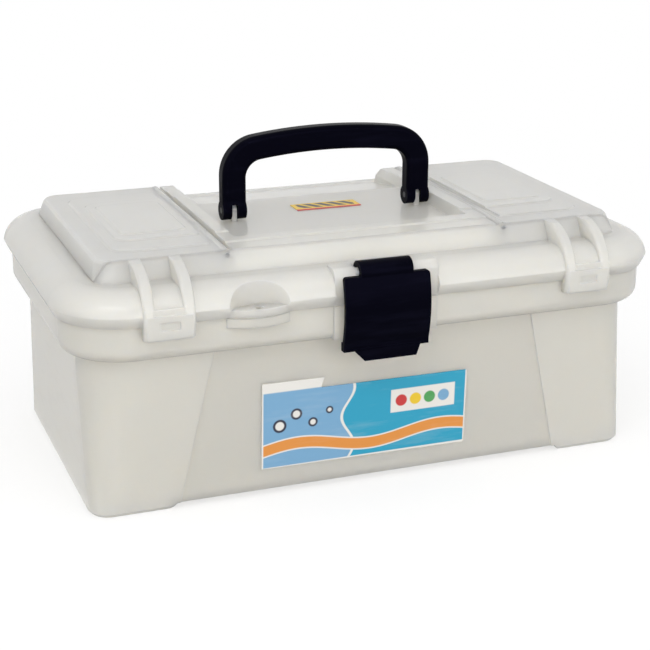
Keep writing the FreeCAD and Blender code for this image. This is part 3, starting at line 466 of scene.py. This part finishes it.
def label_finish(inks):
    """The front label: two blue grounds that meet in a wave, a warm ribbon and a card of paint spots."""
    material, tree, shader, place = new_finish("front_label_print")
    across, up = millimetres(tree, place, "front_label", "Z")
    width, _, height = [(high - low) / MM for low, high in zip(*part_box("front_label"))]
    paper = tuple(inks.paper)
    navy = tuple(inks.navy)
    seam = waved(tree, across, along=up, rate=0.21, swing=3.2)
    colour = tinted(tree, eased(tree, seam, *SEAM_CHANGE), tuple(inks.field), tuple(inks.sky))
    colour = painted(tree, colour, band(tree, seam, *SEAM_LINE, PRINT_SOFT), paper)
    level = waved(tree, up, along=across, rate=0.085, swing=2.6)
    colour = painted(tree, colour, band(tree, level, *RIBBON_BORDER, PRINT_SOFT), paper)
    colour = painted(tree, colour, band(tree, level, *RIBBON, PRINT_SOFT), tuple(inks.ribbon))
    colour = painted(tree, colour, patch(tree, (across, up), *CARD, PRINT_SOFT), paper)
    for number, tint in enumerate((inks.cherry, inks.lemon, inks.leaf, inks.field)):
        middle = (FIRST_SPOT[0] + SPOT_STEP * number, FIRST_SPOT[1])
        spot = disc(tree, across, up, middle, SPOT_RADIUS, ROUND_SOFT)
        colour = painted(tree, colour, spot, tuple(tint))
    for number in range(BUBBLE_COUNT):
        middle = (FIRST_BUBBLE[0] + BUBBLE_STEP[0] * number, FIRST_BUBBLE[1] + BUBBLE_STEP[1] * (number % 2))
        outer = BUBBLE_RADIUS - BUBBLE_SHRINK * number
        inner = HOLLOW_RADIUS - HOLLOW_SHRINK * number
        colour = painted(tree, colour, disc(tree, across, up, middle, outer, ROUND_SOFT), navy)
        colour = painted(tree, colour, disc(tree, across, up, middle, inner, ROUND_SOFT), paper)
    flag = height - FLAG_HEIGHT
    colour = painted(tree, colour, eased(tree, up, flag - FLAG_SOFT, flag + FLAG_SOFT), paper)
    between = band(tree, across, SIDE_MARGIN, width - SIDE_MARGIN, FINE_SOFT)
    inside = calc(tree, "MULTIPLY", between, eased(tree, up, *LOW_MARGIN))
    colour = painted(tree, colour, calc(tree, "SUBTRACT", 1.0, inside), paper)
    paper_finish(tree, shader, place, colour, paper)
    return material


def sticker_finish(inks):
    """The sticker by the handle: slanted dark bars and a red line on yellow."""
    material, tree, shader, place = new_finish("top_sticker_print")
    across, up = millimetres(tree, place, "top_sticker", "Y")
    slant = calc(tree, "ADD", across, calc(tree, "MULTIPLY", up, BAR_SLANT))
    bars = band(tree, calc(tree, "MODULO", slant, BAR_STEP), *BAR, FINE_SOFT)
    panel = patch(tree, (across, up), *BAR_PANEL, FINE_SOFT)
    ground = tinted(tree, eased(tree, up, *RED_LINE), tuple(inks.cherry), tuple(inks.lemon))
    colour = painted(tree, ground, calc(tree, "MULTIPLY", bars, panel), tuple(inks.navy))
    paper_finish(tree, shader, place, colour, tuple(inks.paper))
    return material


def wear(node, material):
    """Put one finish on a CAD node."""
    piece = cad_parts[node]
    piece.data.materials.clear()
    piece.data.materials.append(material)


class BOX_OT_shells(Operator):
    """Give the bin, lid and organizer covers their milky plastic"""
    bl_idname = "supply_box.shells"
    bl_label = "Milky shells"

    def execute(self, context):
        plastic = context.scene.milky_plastic
        wear("base_bin", milky_finish("bin_polypropylene", tuple(plastic.bin), plastic))
        lid = milky_finish("lid_polypropylene", tuple(plastic.lid), plastic)
        for node in LID_SHELLS:
            wear(node, lid)
        return {"FINISHED"}


class BOX_OT_black_parts(Operator):
    """Give the handle and latch their black plastic"""
    bl_idname = "supply_box.black_parts"
    bl_label = "Handle and latch"

    def execute(self, context):
        finish = black_finish(context.scene.black_plastic)
        for node in BLACK_PARTS:
            wear(node, finish)
        return {"FINISHED"}


class BOX_OT_pins(Operator):
    """Give the hinge pins their steel"""
    bl_idname = "supply_box.pins"
    bl_label = "Hinge pins"

    def execute(self, context):
        drawn = pin_finish("drawn_steel", bright=0.56, dull=0.42)
        blackened = pin_finish("blackened_steel", bright=0.03, dull=0.015)
        for node in WIRE_PINS:
            wear(node, drawn)
        for node in HANDLE_PINS:
            wear(node, blackened)
        return {"FINISHED"}


class BOX_OT_papers(Operator):
    """Print the front label and the top sticker"""
    bl_idname = "supply_box.papers"
    bl_label = "Printed papers"

    def execute(self, context):
        inks = context.scene.printed_paper
        wear("front_label", label_finish(inks))
        wear("top_sticker", sticker_finish(inks))
        return {"FINISHED"}


def soft_lamp(name, place, target, size, power):
    """A rectangular lamp that faces a target, in metres and watts."""
    data = bpy.data.lights.new(name, "AREA")
    data.shape = "RECTANGLE"
    data.size, data.size_y = size
    data.energy = power
    lamp = bpy.data.objects.new(name, data)
    bpy.context.scene.collection.objects.link(lamp)
    lamp.location = place
    lamp.rotation_mode = "QUATERNION"
    lamp.rotation_quaternion = (Vector(target) - Vector(place)).to_track_quat("-Z", "Y")


def seen_directly(tree):
    """1 for rays from the camera and for those that gloss or clear plastic sends on."""
    path = tree.nodes.new("ShaderNodeLightPath")
    bent = calc(tree, "MAXIMUM", path.outputs["Is Glossy Ray"], path.outputs["Is Transmission Ray"])
    return calc(tree, "MAXIMUM", path.outputs["Is Camera Ray"], bent)


def pale_world(scene, ambient):
    """Even studio light that the camera, glossy and clear surfaces see as plain white."""
    world = bpy.data.worlds.new("studio")
    scene.world = world
    world.use_nodes = True
    tree = world.node_tree
    back = tree.nodes["Background"]
    back.inputs["Color"].default_value = (1, 1, 1, 1)
    level = ramp(tree, low=0, high=1, low_value=ambient, high_value=1.0)
    join = links_of(tree)
    join(seen_directly(tree), level.inputs["Value"])
    join(level.outputs["Result"], back.inputs["Strength"])


def pale_floor():
    """A white floor that keeps a faint shadow near the box and runs out to plain white."""
    material, tree, shader, place = new_finish("pale_floor")
    join = links_of(tree)
    seen = seen_directly(tree)
    tone = ramp(tree, low=0, high=1, low_value=0.45, high_value=0.95)
    join(seen, tone.inputs["Value"])
    join(tone.outputs["Result"], shader.inputs["Base Color"])
    shader.inputs["Roughness"].default_value = 0.9
    shader.inputs["Specular IOR Level"].default_value = 0.0
    white = tree.nodes.new("ShaderNodeEmission")
    reach = tree.nodes.new("ShaderNodeVectorMath")
    reach.operation = "LENGTH"
    join(place.outputs["Object"], reach.inputs[0])
    away = ramp(tree, low=SHADOW_FULL, high=SHADOW_GONE, low_value=0.62, high_value=1.0)
    join(reach.outputs["Value"], away.inputs["Value"])
    blend = tree.nodes.new("ShaderNodeMixShader")
    join(calc(tree, "MULTIPLY", away.outputs["Result"], seen), blend.inputs["Fac"])
    join(shader.outputs["BSDF"], blend.inputs[1])
    join(white.outputs["Emission"], blend.inputs[2])
    join(blend.outputs["Shader"], tree.nodes["Material Output"].inputs["Surface"])
    return material


def studio_camera(scene, view):
    """A camera that looks at the aim point from its azimuth and elevation."""
    back = Vector((math.sin(view.azimuth) * math.cos(view.elevation),
                   -math.cos(view.azimuth) * math.cos(view.elevation), math.sin(view.elevation)))
    level = Vector((math.cos(view.azimuth), math.sin(view.azimuth), 0))
    up = back.cross(level)
    aim = level * view.aim_side + up * view.aim_up + Vector((0, 0, view.aim_height))
    right = level * math.cos(view.roll) + up * math.sin(view.roll)
    data = bpy.data.cameras.new("studio_camera")
    data.sensor_width = 36.0
    data.lens = view.lens
    data.clip_start = 0.05
    camera = bpy.data.objects.new("studio_camera", data)
    scene.collection.objects.link(camera)
    turned = Matrix((right, back.cross(right), back)).transposed().to_4x4()
    camera.matrix_world = Matrix.Translation(aim + back * view.distance) @ turned
    scene.camera = camera


class BOX_OT_stage(Operator):
    """Lay the floor, hang the lamps and set the camera"""
    bl_idname = "supply_box.stage"
    bl_label = "Stage"

    def execute(self, context):
        scene = context.scene
        scene.view_settings.view_transform = "Standard"
        bpy.ops.object.select_all(action="DESELECT")
        bpy.ops.mesh.primitive_circle_add(vertices=96, radius=3.0, fill_type="NGON", location=(0, 0, 0))
        floor = context.object
        floor.name = "studio_floor"
        floor.data.materials.append(pale_floor())
        pale_world(scene, scene.studio_view.ambient)
        soft_lamp("overhead_bank", place=(-0.15, -0.35, 1.3), target=(0, 0, 0.05), size=(1.6, 1.3),
                  power=2.2)
        soft_lamp("left_bank", place=(-1.2, -0.9, 0.7), target=(0, 0, 0.06), size=(1.0, 1.0), power=4.8)
        soft_lamp("front_bank", place=(0.3, -1.5, 0.4), target=(0, 0, 0.06), size=(1.4, 0.7), power=8.5)
        soft_lamp("edge_strip", place=(-0.5, -0.75, 1.0), target=(0, 0, 0.08), size=(0.9, 0.10), power=2.0)
        studio_camera(scene, scene.studio_view)
        return {"FINISHED"}


class BOX_PT_sidebar(Panel):
    """Lists the steps that dress the box"""
    bl_idname = "BOX_PT_sidebar"
    bl_label = "Supply Box"
    bl_space_type = "VIEW_3D"
    bl_region_type = "UI"
    bl_category = "Supply Box"

    def draw(self, context):
        for step in STEPS:
            self.layout.operator(step.bl_idname)


STEPS = (BOX_OT_shells, BOX_OT_black_parts, BOX_OT_pins, BOX_OT_papers, BOX_OT_stage)
SETTINGS = {"milky_plastic": MilkyPlastic, "black_plastic": BlackPlastic, "printed_paper": PrintedPaper,
            "studio_view": StudioView}


def register():
    """Add the settings, steps and sidebar to Blender."""
    for group in SETTINGS.values():
        bpy.utils.register_class(group)
    for name, group in SETTINGS.items():
        setattr(bpy.types.Scene, name, PointerProperty(type=group))
    for step in (*STEPS, BOX_PT_sidebar):
        bpy.utils.register_class(step)


def unregister():
    """Take the sidebar, steps and settings out again."""
    for step in (BOX_PT_sidebar, *reversed(STEPS)):
        bpy.utils.unregister_class(step)
    for name in SETTINGS:
        delattr(bpy.types.Scene, name)
    for group in SETTINGS.values():
        bpy.utils.unregister_class(group)


def main():
    """Dress the box."""
    register()
    bpy.ops.supply_box.shells()
    bpy.ops.supply_box.black_parts()
    bpy.ops.supply_box.pins()
    bpy.ops.supply_box.papers()
    bpy.ops.supply_box.stage()


if __name__ == "__main__":
    main()
